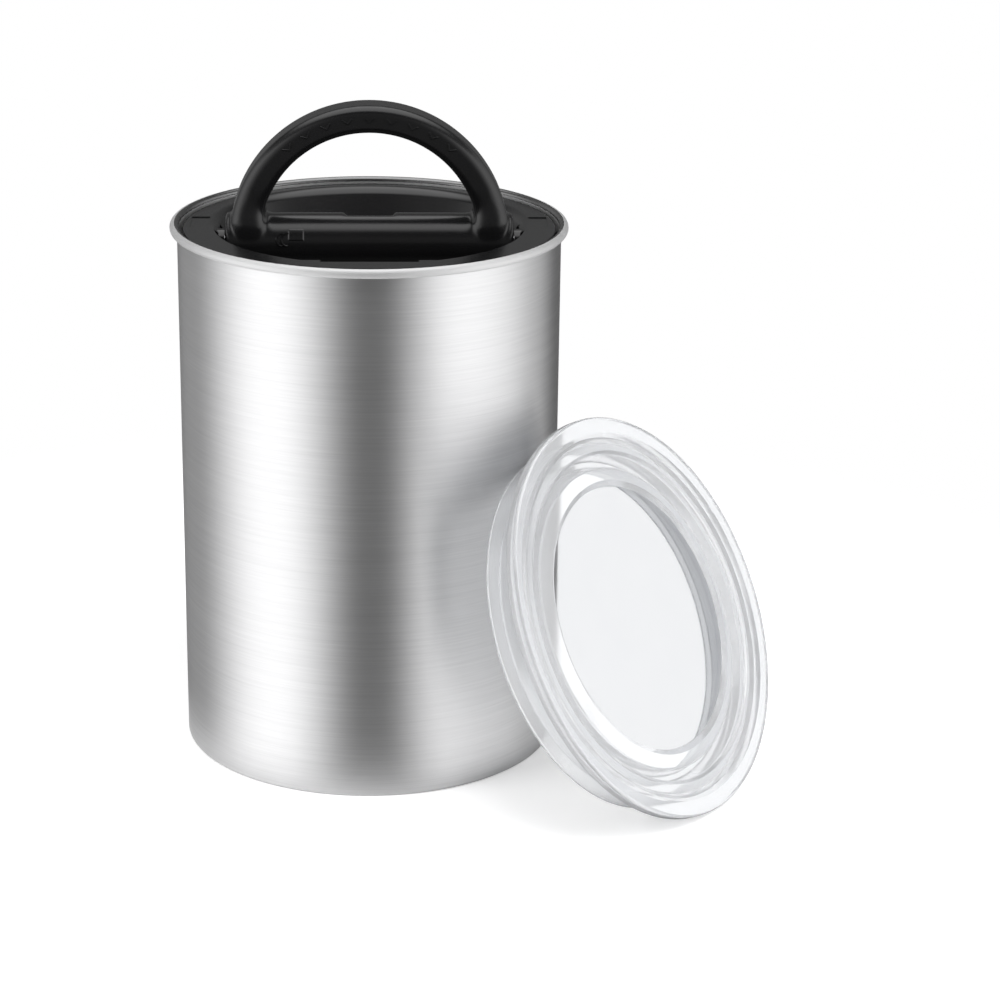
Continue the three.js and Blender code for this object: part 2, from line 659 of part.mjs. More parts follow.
// Assembly
const canister = new THREE.Group();
canister.add(piece('canister_shell', canisterShell(), brushedSteel));

const innerLid = new THREE.Group();
innerLid.position.z = BODY_HEIGHT - LID_DROP;
innerLid.add(piece('lid_housing', lidHousing(), blackPlastic));
innerLid.add(piece('lid_base', lidBase(), blackPlastic));
innerLid.add(piece('lid_seal', lidSeal(), blackRubber));
innerLid.add(piece('valve_stem', valveStem(), greyPlastic));
innerLid.add(piece('valve_spring', valveSpring(), brightSteel));
const disc = ringOnStem(DISC_RADIUS, discUnder, discTop);
innerLid.add(piece('valve_disc', disc, blackRubber));
const retainer = ringOnStem(RETAINER_RADIUS, retainerUnder, retainerTop);
innerLid.add(piece('valve_retainer', retainer, greyPlastic));
canister.add(innerLid);

const pivot = new THREE.Group();
pivot.position.z = pivotZ;
pivot.add(piece('handle', handle(), blackPlastic));
pivot.add(piece('pivot_pin_right', pivotPin(), brightSteel));
const leftPin = piece('pivot_pin_left', pivotPin(), brightSteel);
leftPin.rotation.z = Math.PI;
pivot.add(leftPin);
innerLid.add(pivot);

const leaning = new THREE.Group();
leaning.position.copy(leanPosition());
leaning.rotation.z = LEAN_BEARING + LEAN_TURN;
const outerLid = piece('clear_lid', clearLid(), clearPlastic);
outerLid.rotation.x = Math.PI / 2 - LEAN_RISE;
leaning.add(outerLid);
canister.add(leaning);

export default canister;
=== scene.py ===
import json
import math

import bmesh
import bpy
from mathutils import Matrix, Vector


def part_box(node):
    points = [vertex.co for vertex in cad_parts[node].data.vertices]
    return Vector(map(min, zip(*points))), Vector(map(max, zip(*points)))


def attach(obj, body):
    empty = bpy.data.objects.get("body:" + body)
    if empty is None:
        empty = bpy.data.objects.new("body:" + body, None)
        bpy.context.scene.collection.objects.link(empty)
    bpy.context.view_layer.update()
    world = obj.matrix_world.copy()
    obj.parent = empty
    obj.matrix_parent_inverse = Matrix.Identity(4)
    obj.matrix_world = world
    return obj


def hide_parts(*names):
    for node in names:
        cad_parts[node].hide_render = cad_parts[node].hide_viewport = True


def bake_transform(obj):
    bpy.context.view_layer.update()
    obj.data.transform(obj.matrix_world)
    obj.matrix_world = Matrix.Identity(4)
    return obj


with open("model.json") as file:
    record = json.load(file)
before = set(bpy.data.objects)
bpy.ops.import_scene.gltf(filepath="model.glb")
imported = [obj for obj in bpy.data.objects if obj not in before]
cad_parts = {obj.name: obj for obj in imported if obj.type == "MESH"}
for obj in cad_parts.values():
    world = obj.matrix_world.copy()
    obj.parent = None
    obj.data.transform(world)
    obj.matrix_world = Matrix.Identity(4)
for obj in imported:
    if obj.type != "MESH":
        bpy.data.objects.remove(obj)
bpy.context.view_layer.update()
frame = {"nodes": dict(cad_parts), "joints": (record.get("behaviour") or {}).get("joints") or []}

# Steel body
# A deep-drawn stainless cup, brushed round on a lathe. Its edge is rolled outwards into a smooth
# open curl, and a shallow ring pressed into its base keeps the base flat.
MM = 0.001
TURN_STEPS = 192
SMOOTH_ANGLE = math.radians(35)
ARC_STEP = math.radians(11)
SAME_PLACE = 1e-7

_, body_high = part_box("canister_shell")
sheet = 0.6 * MM
curl_radius = 1.5 * MM
curl_inside = curl_radius - sheet
curl_end = body_high.x - 1.8 * MM
curl_under = body_high.z - 2 * curl_radius
curl_edge_round = 0.2 * MM
bore_radius = body_high.x - 2 * curl_radius
wall_radius = bore_radius + sheet
base_round = 1.1 * MM
groove_inside = 43.5 * MM
groove_outside = 48.5 * MM
groove_depth = 0.9 * MM
groove_round = 0.5 * MM


def choose(test):
    """In edit mode, selects only the vertices whose place passes the test."""
    edited = bmesh.from_edit_mesh(bpy.context.object.data)
    for vertex in edited.verts:
        vertex.select_set(test(vertex.co))
    edited.select_flush_mode()
    bmesh.update_edit_mesh(bpy.context.object.data)


def draw_outline(name, corners, closed):
    """A wire through corners (radius, height, rounding) in the XZ plane, in edit mode."""
    places = [Vector((corner[0], 0, corner[1])) for corner in corners]
    bpy.ops.object.select_all(action="DESELECT")
    bpy.ops.mesh.primitive_plane_add(size=MM)
    bpy.context.object.name = name
    bpy.ops.object.mode_set(mode="EDIT")
    bpy.ops.mesh.merge(type="CENTER")
    bpy.ops.transform.translate(value=places[0])
    for here, there in zip(places, places[1:]):
        bpy.ops.mesh.extrude_region_move(TRANSFORM_OT_translate={"value": there - here})
    if closed:
        choose(lambda place: min((place - places[0]).length, (place - places[-1]).length) < SAME_PLACE)
        bpy.ops.mesh.edge_face_add()
    for i, corner in enumerate(corners):
        if len(corner) < 3:
            continue
        back = places[i - 1] - places[i]
        ahead = places[(i + 1) % len(places)] - places[i]
        opening = back.angle(ahead)
        choose(lambda place: (place - places[i]).length < SAME_PLACE)
        bpy.ops.mesh.bevel(
            affect="VERTICES",
            offset=corner[2] / math.tan(opening / 2),
            segments=max(2, round((math.pi - opening) / ARC_STEP)),
        )


def close_skin():
    """In edit mode, merges what meets, turns every face outwards, and leaves edit mode."""
    bpy.ops.mesh.select_all(action="SELECT")
    bpy.ops.mesh.remove_doubles(threshold=SAME_PLACE)
    bpy.ops.mesh.dissolve_degenerate(threshold=SAME_PLACE)
    bpy.ops.mesh.select_all(action="SELECT")
    bpy.ops.mesh.normals_make_consistent(inside=False)
    bpy.ops.object.mode_set(mode="OBJECT")
    bpy.ops.object.shade_smooth_by_angle(angle=SMOOTH_ANGLE)
    return bpy.context.object


def turned(name, corners, steps=TURN_STEPS):
    """An outline of (radius, height, rounding) corners spun once round Z into a closed skin."""
    draw_outline(name, corners, closed=corners[0][0] > 0)
    bpy.ops.mesh.select_all(action="SELECT")
    bpy.ops.mesh.spin(steps=steps, angle=2 * math.pi, center=(0, 0, 0), axis=(0, 0, 1))
    return close_skin()


class Socket:
    """An output of a node tree. Sums on it add Math nodes, and add() adds any other node."""

    def __init__(self, tree, output=None):
        self.tree = tree
        self.output = output

    def add(self, kind, settings=None, inputs=None, output=0):
        node = self.tree.nodes.new(kind)
        for name, value in (settings or {}).items():
            setattr(node, name, value)
        for name, value in (inputs or {}).items():
            if isinstance(value, Socket):
                self.tree.links.new(value.output, node.inputs[name])
            else:
                node.inputs[name].default_value = value
        return Socket(self.tree, node.outputs[output] if node.outputs else None)

    def beside(self, output):
        """Another output of the same node."""
        return Socket(self.tree, self.output.node.outputs[output])

    def maths(self, operation, *values):
        return self.add("ShaderNodeMath", {"operation": operation}, dict(enumerate(values)))

    def __add__(self, other):
        return self.maths("ADD", self, other)

    def __sub__(self, other):
        return self.maths("SUBTRACT", self, other)

    def __rsub__(self, other):
        return self.maths("SUBTRACT", other, self)

    def __mul__(self, other):
        return self.maths("MULTIPLY", self, other)

    __radd__ = __add__
    __rmul__ = __mul__


def new_finish(name):
    """An empty material, and the wrapped tree that its nodes go into."""
    material = bpy.data.materials.new(name)
    material.use_nodes = True
    material.node_tree.nodes.clear()
    return material, Socket(material.node_tree)


def mixed(tree, factor, first, second):
    """A colour between two colours."""
    sockets = {"Factor": factor, 6: first, 7: second}
    return tree.add("ShaderNodeMix", {"data_type": "RGBA"}, sockets, output=2)


def surface(tree, sockets):
    """The shader that ends a material, with its constants and links by socket name."""
    shader = tree.add("ShaderNodeBsdfPrincipled", inputs=sockets)
    tree.add("ShaderNodeOutputMaterial", inputs={"Surface": shader})


def mottle(tree, scale, detail):
    """A soft uneven pattern all over a piece."""
    place = tree.add("ShaderNodeTexCoord", output="Object")
    return tree.add("ShaderNodeTexNoise", inputs={"Vector": place, "Scale": scale, "Detail": detail})


def relief(tree, height, strength, depth):
    """A fine relief for the Normal socket, with its depth in metres."""
    return tree.add("ShaderNodeBump", inputs={"Strength": strength, "Distance": depth, "Height": height})


def brushed_steel():
    """Fine lines that run round the axis: what lies across them is height plus radius."""
    streak_scale = 28
    coarse_lines = 900
    fine_lines = 2600
    coarse_share = 0.55
    line_roughness = 0.62
    material, tree = new_finish("brushed_steel")
    place = tree.add("ShaderNodeTexCoord", output="Object")
    x = tree.add("ShaderNodeSeparateXYZ", inputs={"Vector": place})
    y, z = x.beside("Y"), x.beside("Z")
    across = z + tree.maths("SQRT", x * x + y * y)

    def lines(pitch, detail):
        along = {"X": x * streak_scale, "Y": y * streak_scale, "Z": across * pitch}
        where = tree.add("ShaderNodeCombineXYZ", inputs=along)
        sockets = {"Vector": where, "Scale": 1.0, "Detail": detail, "Roughness": line_roughness}
        return tree.add("ShaderNodeTexNoise", inputs=sockets)

    streaks = lines(coarse_lines, detail=4.0) * coarse_share
    streaks = streaks + lines(fine_lines, detail=3.0) * (1 - coarse_share)
    handling = mottle(tree, scale=34.0, detail=3.0)
    surface(tree, {
        "Base Color": mixed(tree, streaks, (0.52, 0.52, 0.525, 1), (0.78, 0.78, 0.785, 1)),
        "Metallic": 1.0,
        "Roughness": 0.3 + streaks * 0.16 + handling * 0.04,
        "Anisotropic": 0.88,
        "Anisotropic Rotation": 0.25,
        "Normal": relief(tree, streaks, strength=0.35, depth=0.03 * MM),
    })
    return material


def plain_steel(name, tone, roughness, turning):
    """Steel without brush lines, with faint handling marks and more or less of a turned sheen."""
    lighter = (tone * 1.1, tone * 1.1, tone * 1.11, 1)
    material, tree = new_finish(name)
    marks = mottle(tree, scale=160.0, detail=5.0)
    surface(tree, {
        "Base Color": mixed(tree, marks, (tone, tone, tone, 1), lighter),
        "Metallic": 1.0,
        "Roughness": roughness + marks * 0.12,
        "Anisotropic": turning,
        "Anisotropic Rotation": 0.25,
    })
    return material


steel_body = turned("steel_body", [
    (0, 0),
    (groove_inside, 0, groove_round),
    (groove_inside + groove_depth, groove_depth, groove_round),
    (groove_outside - groove_depth, groove_depth, groove_round),
    (groove_outside, 0, groove_round),
    (wall_radius, 0, base_round),
    (wall_radius, body_high.z - sheet, curl_inside),
    (body_high.x - sheet, body_high.z - sheet, curl_inside),
    (body_high.x - sheet, curl_under + sheet, curl_inside),
    (curl_end, curl_under + sheet, curl_edge_round),
    (curl_end, curl_under, curl_edge_round),
    (body_high.x, curl_under, curl_radius),
    (body_high.x, body_high.z, curl_radius),
    (bore_radius, body_high.z, curl_radius),
    (bore_radius, sheet, base_round - sheet),
    (groove_outside, sheet, groove_round),
    (groove_outside - groove_depth, sheet + groove_depth, groove_round),
    (groove_inside + groove_depth, sheet + groove_depth, groove_round),
    (groove_inside, sheet, groove_round),
    (0, sheet),
])
BRUSHED, CURL, INSIDE, SHADED_FLANK = range(4)
for finish in (
    brushed_steel(),
    plain_steel("satin_curl", tone=0.66, roughness=0.58, turning=0.4),
    plain_steel("drawn_inside", tone=0.62, roughness=0.5, turning=0.0),
    # The inner flank of the rolled rim and the top of the bore get a steel far darker than the rest:
    # painted shade that stands in for the shaded gap and dims the flank's reflection.
    plain_steel("rim_flank_painted_shade", tone=0.2, roughness=0.2, turning=0.0),
):
    steel_body.data.materials.append(finish)
for face in steel_body.data.polygons:
    reach = face.center.xy.length
    face.material_index = BRUSHED
    if face.center.z > curl_under - sheet:
        # The rim's inner flank takes the painted-shade steel; the outer half of the curl keeps the satin
        # steel.
        face.material_index = CURL if reach > bore_radius + curl_radius else SHADED_FLANK
    elif reach < (bore_radius + wall_radius) / 2 and face.center.z > sheet / 2:
        face.material_index = INSIDE
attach(steel_body, "canister")
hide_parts("canister_shell")

# Inner lid housing
# A black moulding in matte plastic. Its front half is a slightly raised plate round a straight-sided
# well for the folded handle, and its rear half falls away in a soft dish for the fingers.
housing_low, housing_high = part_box("lid_housing")
fold = next(joint for joint in frame["joints"] if joint["name"] == "handle_fold")
pivot = Vector(fold["pos_m"])
lid_top = housing_high.z
ring_radius = housing_high.x
lid_wall = 2 * MM
well_radius = ring_radius - 10.4 * MM
well_draft = 1 * MM
well_depth = 20 * MM
well_floor = lid_top - well_depth
well_floor_round = 2 * MM
well_rim_round = 0.7 * MM
plate_step = 0.4 * MM
step_line = -4 * MM
ring_edge_round = 0.5 * MM
blank_spare = 1 * MM
void_overlap = 0.05 * MM
dish_back = 4.6 * MM
dish_top_round = 4.5 * MM
dish_floor_round = 10 * MM
dish_slope = math.radians(60)
dish_run = (well_depth - plate_step) / math.tan(dish_slope)
seal_groove_radius = ring_radius - 4.2 * MM
seal_groove_top = lid_top - 4 * MM
seal_groove_under = lid_top - 16.6 * MM
skirt_radius = bore_radius - 2.1 * MM
trough_radius = 10.2 * MM
trough_half = 49.8 * MM
hub_radius = 4 * MM
hub_face = 47.85 * MM
hub_sides = 64
pin_radius = 2 * MM
fit = 0.3 * MM
tab_edge = -(well_radius - 2.6 * MM)
tab_half = 18 * MM
tab_height = 5 * MM
tab_drop = 0.15 * MM
catch_edge = -(well_radius - 6.5 * MM)
catch_inside = 15.6 * MM
catch_outside = 26 * MM
catch_drop = 0.6 * MM
catch_thickness = 2 * MM
patch_inside = 53.2 * MM
patch_outside = 59.2 * MM
patch_front = -3 * MM
patch_rear = 12 * MM
patch_depth = 0.3 * MM
cup_radius = 8.2 * MM
cup_under = lid_top - 27.2 * MM
pocket_radius = 6.2 * MM
pocket_floor = lid_top - 25.2 * MM
stem_bore_radius = 3.3 * MM
vent_radius = 1.4 * MM
vent_circle = 12.5 * MM
vent_count = 4
vent_sides = 32
BAR_SIDES = 96


def moulded_black():
    """Black plastic from a spark-eroded tool: a fine even grain, a little uneven in gloss."""
    material, tree = new_finish("moulded_black")
    grain = mottle(tree, scale=5200.0, detail=2.0)
    cloud = mottle(tree, scale=45.0, detail=4.0)
    surface(tree, {
        "Base Color": mixed(tree, cloud, (0.0035, 0.0035, 0.0037, 1), (0.0055, 0.0055, 0.0058, 1)),
        "Roughness": 0.16 + cloud * 0.07 + grain * 0.04,
        "IOR": 1.5,
        "Normal": relief(tree, grain, strength=0.14, depth=0.04 * MM),
    })
    return material


def pick(piece):
    """Selects one object alone and makes it the active one."""
    bpy.ops.object.select_all(action="DESELECT")
    bpy.context.view_layer.objects.active = piece
    piece.select_set(True)


def apply_modifiers(piece):
    """Puts what an object's modifiers do into its mesh."""
    pick(piece)
    for name in [modifier.name for modifier in piece.modifiers]:
        bpy.ops.object.modifier_apply(modifier=name)


def apply_place(piece):
    """Puts an object's place and turn into its mesh."""
    pick(piece)
    bpy.ops.object.transform_apply(location=True, rotation=True, scale=True)


def combine(piece, operation, tool):
    """Joins or cuts a piece with a tool, and removes the tool."""
    modifier = piece.modifiers.new(operation, "BOOLEAN")
    modifier.operation = operation
    modifier.solver = "EXACT"
    modifier.object = tool
    apply_modifiers(piece)
    bpy.data.objects.remove(tool)


def block(low, high):
    """A box between two corners, with its place in its mesh."""
    low, high = Vector(low), Vector(high)
    bpy.ops.object.select_all(action="DESELECT")
    bpy.ops.mesh.primitive_cube_add(size=1, location=(low + high) / 2, scale=high - low)
    apply_place(bpy.context.object)
    return bpy.context.object


def bar(radius, start, end, sides=BAR_SIDES):
    """A round bar between two points."""
    start, end = Vector(start), Vector(end)
    bpy.ops.object.select_all(action="DESELECT")
    bpy.ops.mesh.primitive_cylinder_add(
        vertices=sides,
        radius=radius,
        depth=(end - start).length,
        location=(start + end) / 2,
        rotation=(end - start).to_track_quat("Z", "Y").to_euler(),
    )
    apply_place(bpy.context.object)
    return bpy.context.object


def lid_void(name, rear, outline):
    """What is cut from the lid's blank on one side of the step line: the hollow and all round it."""
    rim_top = outline[-1][1]
    edge_radius = ring_radius - rear * void_overlap
    void = turned(name, [
        *outline,
        (edge_radius, rim_top, ring_edge_round),
        (edge_radius, seal_groove_top - blank_spare),
        (ring_radius + 2 * blank_spare, seal_groove_top - blank_spare),
        (ring_radius + 2 * blank_spare, lid_top + 2 * blank_spare),
        (0, lid_top + 2 * blank_spare),
    ])
    if rear:
        for vertex in void.data.vertices:
            if vertex.co.xy.length < well_radius + dish_top_round:
                vertex.co.y += dish_back
    bpy.ops.object.mode_set(mode="EDIT")
    bpy.ops.mesh.select_all(action="SELECT")
    bpy.ops.mesh.bisect(
        plane_co=(0, step_line - rear * void_overlap, 0),
        plane_no=(0, 1, 0),
        use_fill=True,
        clear_inner=rear,
        clear_outer=not rear,
        threshold=SAME_PLACE,
    )
    bpy.ops.object.mode_set(mode="OBJECT")
    return void


housing = turned("inner_lid_housing", [
    (0, lid_top + blank_spare),
    (ring_radius + blank_spare, lid_top + blank_spare),
    (ring_radius + blank_spare, seal_groove_top),
    (seal_groove_radius, seal_groove_top),
    (seal_groove_radius, seal_groove_under),
    (skirt_radius, seal_groove_under),
    (skirt_radius, housing_low.z),
    (skirt_radius - lid_wall, housing_low.z),
    (skirt_radius - lid_wall, well_floor - lid_wall),
    (0, well_floor - lid_wall),
])
front_well = lid_void("front_well", False, [
    (0, well_floor),
    (well_radius - well_draft, well_floor, well_floor_round),
    (well_radius, lid_top, well_rim_round),
])
ledge_end = -(well_radius + lid_wall)
tab = block((-tab_half, ledge_end, lid_top - tab_height), (tab_half, tab_edge, lid_top - tab_drop))
combine(front_well, "DIFFERENCE", tab)
for near, far in ((catch_inside, catch_outside), (-catch_outside, -catch_inside)):
    catch_top = lid_top - catch_drop
    catch = block((near, ledge_end, catch_top - catch_thickness), (far, catch_edge, catch_top))
    combine(front_well, "DIFFERENCE", catch)
combine(housing, "DIFFERENCE", front_well)
combine(housing, "DIFFERENCE", lid_void("rear_dish", True, [
    (0, well_floor + void_overlap),
    (well_radius - dish_run, well_floor + void_overlap, dish_floor_round),
    (well_radius, lid_top - plate_step, dish_top_round),
]))
along_pivot = Vector((1, 0, 0))
trough_reach = trough_half * along_pivot
combine(housing, "DIFFERENCE", bar(trough_radius, pivot - trough_reach, pivot + trough_reach, TURN_STEPS))
for side in (-1, 1):
    hub_end = pivot + side * (trough_half + lid_wall / 2) * along_pivot
    combine(housing, "UNION", bar(hub_radius, pivot + side * hub_face * along_pivot, hub_end, hub_sides))
combine(housing, "UNION", bar(cup_radius, (0, 0, cup_under), (0, 0, well_floor - lid_wall / 2)))
combine(housing, "DIFFERENCE", bar(pocket_radius, (0, 0, pocket_floor), (0, 0, lid_top)))
combine(housing, "DIFFERENCE", bar(stem_bore_radius, (0, 0, cup_under - lid_wall), (0, 0, lid_top)))
for i in range(vent_count):
    turn = 2 * math.pi * (i + 0.5) / vent_count
    spot = Vector((vent_circle * math.cos(turn), vent_circle * math.sin(turn), well_floor))
    through = Vector((0, 0, 2 * lid_wall))
    combine(housing, "DIFFERENCE", bar(vent_radius, spot - through, spot + through, vent_sides))
for near, far in ((patch_inside, patch_outside), (-patch_outside, -patch_inside)):
    patch_floor = lid_top - plate_step - patch_depth
    combine(housing, "DIFFERENCE", block((near, patch_front, patch_floor), (far, patch_rear, lid_top)))
bpy.ops.object.shade_smooth_by_angle(angle=SMOOTH_ANGLE)
flats = housing.modifiers.new("flats", "WEIGHTED_NORMAL")
flats.keep_sharp = True
apply_modifiers(housing)
black_moulding = moulded_black()
housing.data.materials.clear()
housing.data.materials.append(black_moulding)
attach(housing, "inner_lid")
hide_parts("lid_housing")

# Air valve
# A grey plastic stem with a soft disc held on it by a pressed-on ring. The disc shuts the port in the
# lid's base when the spring lifts the stem.
stem_low, stem_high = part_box("valve_stem")
disc_low, disc_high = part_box("valve_disc")
retainer_low, retainer_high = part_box("valve_retainer")
stem_radius = 3 * MM
stem_head_under = stem_high.z - 1.7 * MM
stem_collar_radius = 4.6 * MM
stem_collar_height = 1.2 * MM
stem_edge_round = 0.6 * MM
valve_edge_round = 0.4 * MM
collar_under = disc_high.z + fit
VALVE_TURN_STEPS = 96


def satin_grey():
    """Grey plastic as it leaves the mould, with faint flow clouds."""
    material, tree = new_finish("satin_grey")
    cloud = mottle(tree, scale=300.0, detail=3.0)
    surface(tree, {
        "Base Color": mixed(tree, cloud, (0.12, 0.125, 0.13, 1), (0.16, 0.165, 0.17, 1)),
        "Roughness": 0.36 + cloud * 0.14,
    })
    return material


def soft_rubber():
    """Black silicone with the dull bloom it picks up in use."""
    material, tree = new_finish("soft_rubber")
    bloom = mottle(tree, scale=220.0, detail=5.0)
    surface(tree, {
        "Base Color": mixed(tree, bloom, (0.008, 0.008, 0.008, 1), (0.016, 0.016, 0.0165, 1)),
        "Roughness": 0.62 + bloom * 0.2,
        "Normal": relief(tree, bloom, strength=0.15, depth=0.03 * MM),
    })
    return material


def ring_on_stem(name, low, high):
    """A flat ring round the stem, as high and wide as the frame's box."""
    return turned(name, [
        (stem_radius + fit, low.z),
        (high.x, low.z, valve_edge_round),
        (high.x, high.z, valve_edge_round),
        (stem_radius + fit, high.z),
    ], VALVE_TURN_STEPS)


valve_stem = turned("valve_stem_turned", [
    (0, stem_low.z),
    (stem_radius, stem_low.z, valve_edge_round),
    (stem_radius, collar_under),
    (stem_collar_radius, collar_under, valve_edge_round),
    (stem_collar_radius, collar_under + stem_collar_height, valve_edge_round),
    (stem_radius, collar_under + stem_collar_height),
    (stem_radius, stem_head_under),
    (stem_high.x, stem_head_under, valve_edge_round),
    (stem_high.x, stem_high.z, stem_edge_round),
    (0, stem_high.z),
], VALVE_TURN_STEPS)
valve_disc = ring_on_stem("valve_disc_soft", disc_low, disc_high)
valve_retainer = ring_on_stem("valve_retainer_ring", retainer_low, retainer_high)
grey_plastic = satin_grey()
black_rubber = soft_rubber()
for piece, node, finish, slot in (
    (valve_stem, "valve_stem", grey_plastic, "valve_plastic"),
    (valve_disc, "valve_disc", black_rubber, "black_silicone"),
    (valve_retainer, "valve_retainer", grey_plastic, "valve_plastic"),
):
    piece.data.materials.append(finish)
    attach(piece, "valve")
    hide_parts(node)

# Valve spring
# A short open coil of hard-drawn wire. It stands in the housing's cup and lifts the stem by its head. In
# the real lid it shortens as the handle's nose presses the stem down; here it is built at one length.
spring_low, spring_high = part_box("valve_spring")
wire_radius = 0.4 * MM
wire_sides = 16
coil_radius = spring_high.x - wire_radius
coil_turns = 3.5
coil_steps = 40


def bright_steel():
    """Drawn and polished steel with fine drawing marks."""
    material, tree = new_finish("bright_steel")
    marks = mottle(tree, scale=700.0, detail=4.0)
    surface(tree, {
        "Base Color": mixed(tree, marks, (0.62, 0.62, 0.63, 1), (0.74, 0.74, 0.75, 1)),
        "Metallic": 1.0,
        "Roughness": 0.14 + marks * 0.14,
    })
    return material


bpy.ops.object.select_all(action="DESELECT")
bpy.ops.mesh.primitive_circle_add(
    vertices=wire_sides,
    radius=wire_radius,
    location=(coil_radius, 0, spring_low.z + wire_radius),
    rotation=(math.pi / 2, 0, 0),
)
valve_spring = bpy.context.object
valve_spring.name = "valve_spring_coil"
apply_place(valve_spring)
coil = valve_spring.modifiers.new("coil", "SCREW")
coil.axis = "Z"
coil.angle = 2 * math.pi * coil_turns
coil.screw_offset = spring_high.z - spring_low.z - 2 * wire_radius
coil.steps = coil.render_steps = round(coil_turns * coil_steps)
apply_modifiers(valve_spring)
bpy.ops.object.mode_set(mode="EDIT")
bpy.ops.mesh.select_all(action="SELECT")
bpy.ops.mesh.fill_holes(sides=0)
close_skin()
polished_steel = bright_steel()
valve_spring.data.materials.append(polished_steel)
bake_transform(valve_spring)
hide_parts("valve_spring")

# Inner lid base
# A black plate that snaps into the housing from below. Its middle is raised over the valve, round the
# port that the disc shuts.
base_low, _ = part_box("lid_base")
plate_wall = 2.2 * MM
plate_top = base_low.z + plate_wall
plate_edge_round = 0.8 * MM
port_radius = 7.5 * MM
seat_lip_width = 1.5 * MM
seat_lip_height = 0.8 * MM
seat_lip_round = 0.35 * MM
roof_under = lid_top - 29.7 * MM
roof_radius = 15 * MM
roof_spread = 6 * MM
roof_wall = 1.4 * MM
roof_round = 2 * MM
spigot_radius = skirt_radius - lid_wall - fit
spigot_width = 2 * MM
spigot_height = 5 * MM
lid_base = turned("inner_lid_base", [
    (port_radius, roof_under - seat_lip_height, seat_lip_round),
    (port_radius + seat_lip_width, roof_under - seat_lip_height, seat_lip_round),
    (port_radius + seat_lip_width, roof_under),
    (roof_radius, roof_under, roof_round),
    (roof_radius + roof_spread, base_low.z, roof_round),
    (skirt_radius, base_low.z, plate_edge_round),
    (skirt_radius, plate_top),
    (spigot_radius, plate_top),
    (spigot_radius, plate_top + spigot_height, seat_lip_round),
    (spigot_radius - spigot_width, plate_top + spigot_height, seat_lip_round),
    (spigot_radius - spigot_width, plate_top),
    (roof_radius + roof_spread + roof_wall, plate_top, roof_round),
    (roof_radius + roof_wall, roof_under + plate_wall, roof_round),
    (port_radius, roof_under + plate_wall),
])
lid_base.data.materials.append(black_moulding)
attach(lid_base, "inner_lid")
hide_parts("lid_base")

# Sliding seal
# A soft silicone ring stretched into the housing's groove. Its three thin lips wipe the steel as the lid
# slides up and down the body.
seal_low, seal_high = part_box("lid_seal")
seal_inside = seal_groove_radius + fit
seal_web = seal_inside + 1.3 * MM
lip_count = 3
lip_pitch = (seal_high.z - seal_low.z) / lip_count
lip_rise = 2 * MM
lip_root = 1 * MM
lip_tip_round = 0.12 * MM
seal_outline = [(seal_inside, seal_low.z)]
for i in range(lip_count):
    lip_foot = seal_low.z + i * lip_pitch
    seal_outline.append((seal_web, lip_foot))
    seal_outline.append((seal_high.x, lip_foot + lip_rise, lip_tip_round))
    seal_outline.append((seal_web, lip_foot + lip_root))
seal_outline.append((seal_web, seal_high.z, lip_tip_round))
seal_outline.append((seal_inside, seal_high.z))
sliding_seal = turned("sliding_seal", seal_outline)
sliding_seal.data.materials.append(black_rubber)
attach(sliding_seal, "inner_lid")
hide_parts("lid_seal")

# Folding handle
# One moulding in the lid's black plastic: a round arch for the fingers, on a barrel that turns on two
# pins. A nose under the barrel works as a cam and presses the valve open.
handle_low, handle_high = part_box("handle")
arch_radius = handle_high.z - pivot.z - 0.65 * MM
arch_width = 8.9 * MM
leg_width = 10.5 * MM
arch_depth = 15 * MM
arch_outer_round = 3.2 * MM
arch_inner_round = 2.2 * MM
arch_steps = 72
leg_flare = 1.6 * MM
leg_flare_height = 7 * MM
barrel_radius = handle_high.y
barrel_half = handle_high.x
barrel_end_round = 1.2 * MM
nose_radius = 3 * MM
nose_half = 4.5 * MM
flat_half = 33 * MM
flat_depth = 0.9 * MM
flat_tilt = math.radians(43)
flat_end_round = 2.2 * MM
flat_end_steps = 6
thumb_half = 8.3 * MM
thumb_depth = 1.1 * MM
thumb_tilt = math.radians(14)
pin_grip = 7 * MM
skin_voxel = 0.5 * MM
skin_softening = 3
fillet_softening = 60
fillet_inside, fillet_outside = 27 * MM, 45 * MM
fillet_low, fillet_high = 2 * MM, 19 * MM
fillet_fade = 4 * MM
smooth_factor = 0.5


def flat_cutter(half, depth, tilt, end_round=0):
    """A block that takes a depth off the barrel's top, tilted back round the pivot."""
    low = (-half, -barrel_radius, barrel_radius - depth)
    cutter = block(low, (half, barrel_radius, 2 * barrel_radius))
    if end_round:
        bpy.ops.object.mode_set(mode="EDIT")
        choose(lambda place: place.z < barrel_radius)
        bpy.ops.mesh.bevel(affect="EDGES", offset=end_round, segments=flat_end_steps)
        bpy.ops.object.mode_set(mode="OBJECT")
    cutter.rotation_euler.x = -tilt
    cutter.location = pivot
    apply_place(cutter)
    return cutter


def between(value, start, end, fade):
    """1 from start to end, falling to 0 over the fade inside each of them."""
    rising = min(1, max(0, (value - start) / fade))
    falling = min(1, max(0, (end - value) / fade))
    return rising * falling


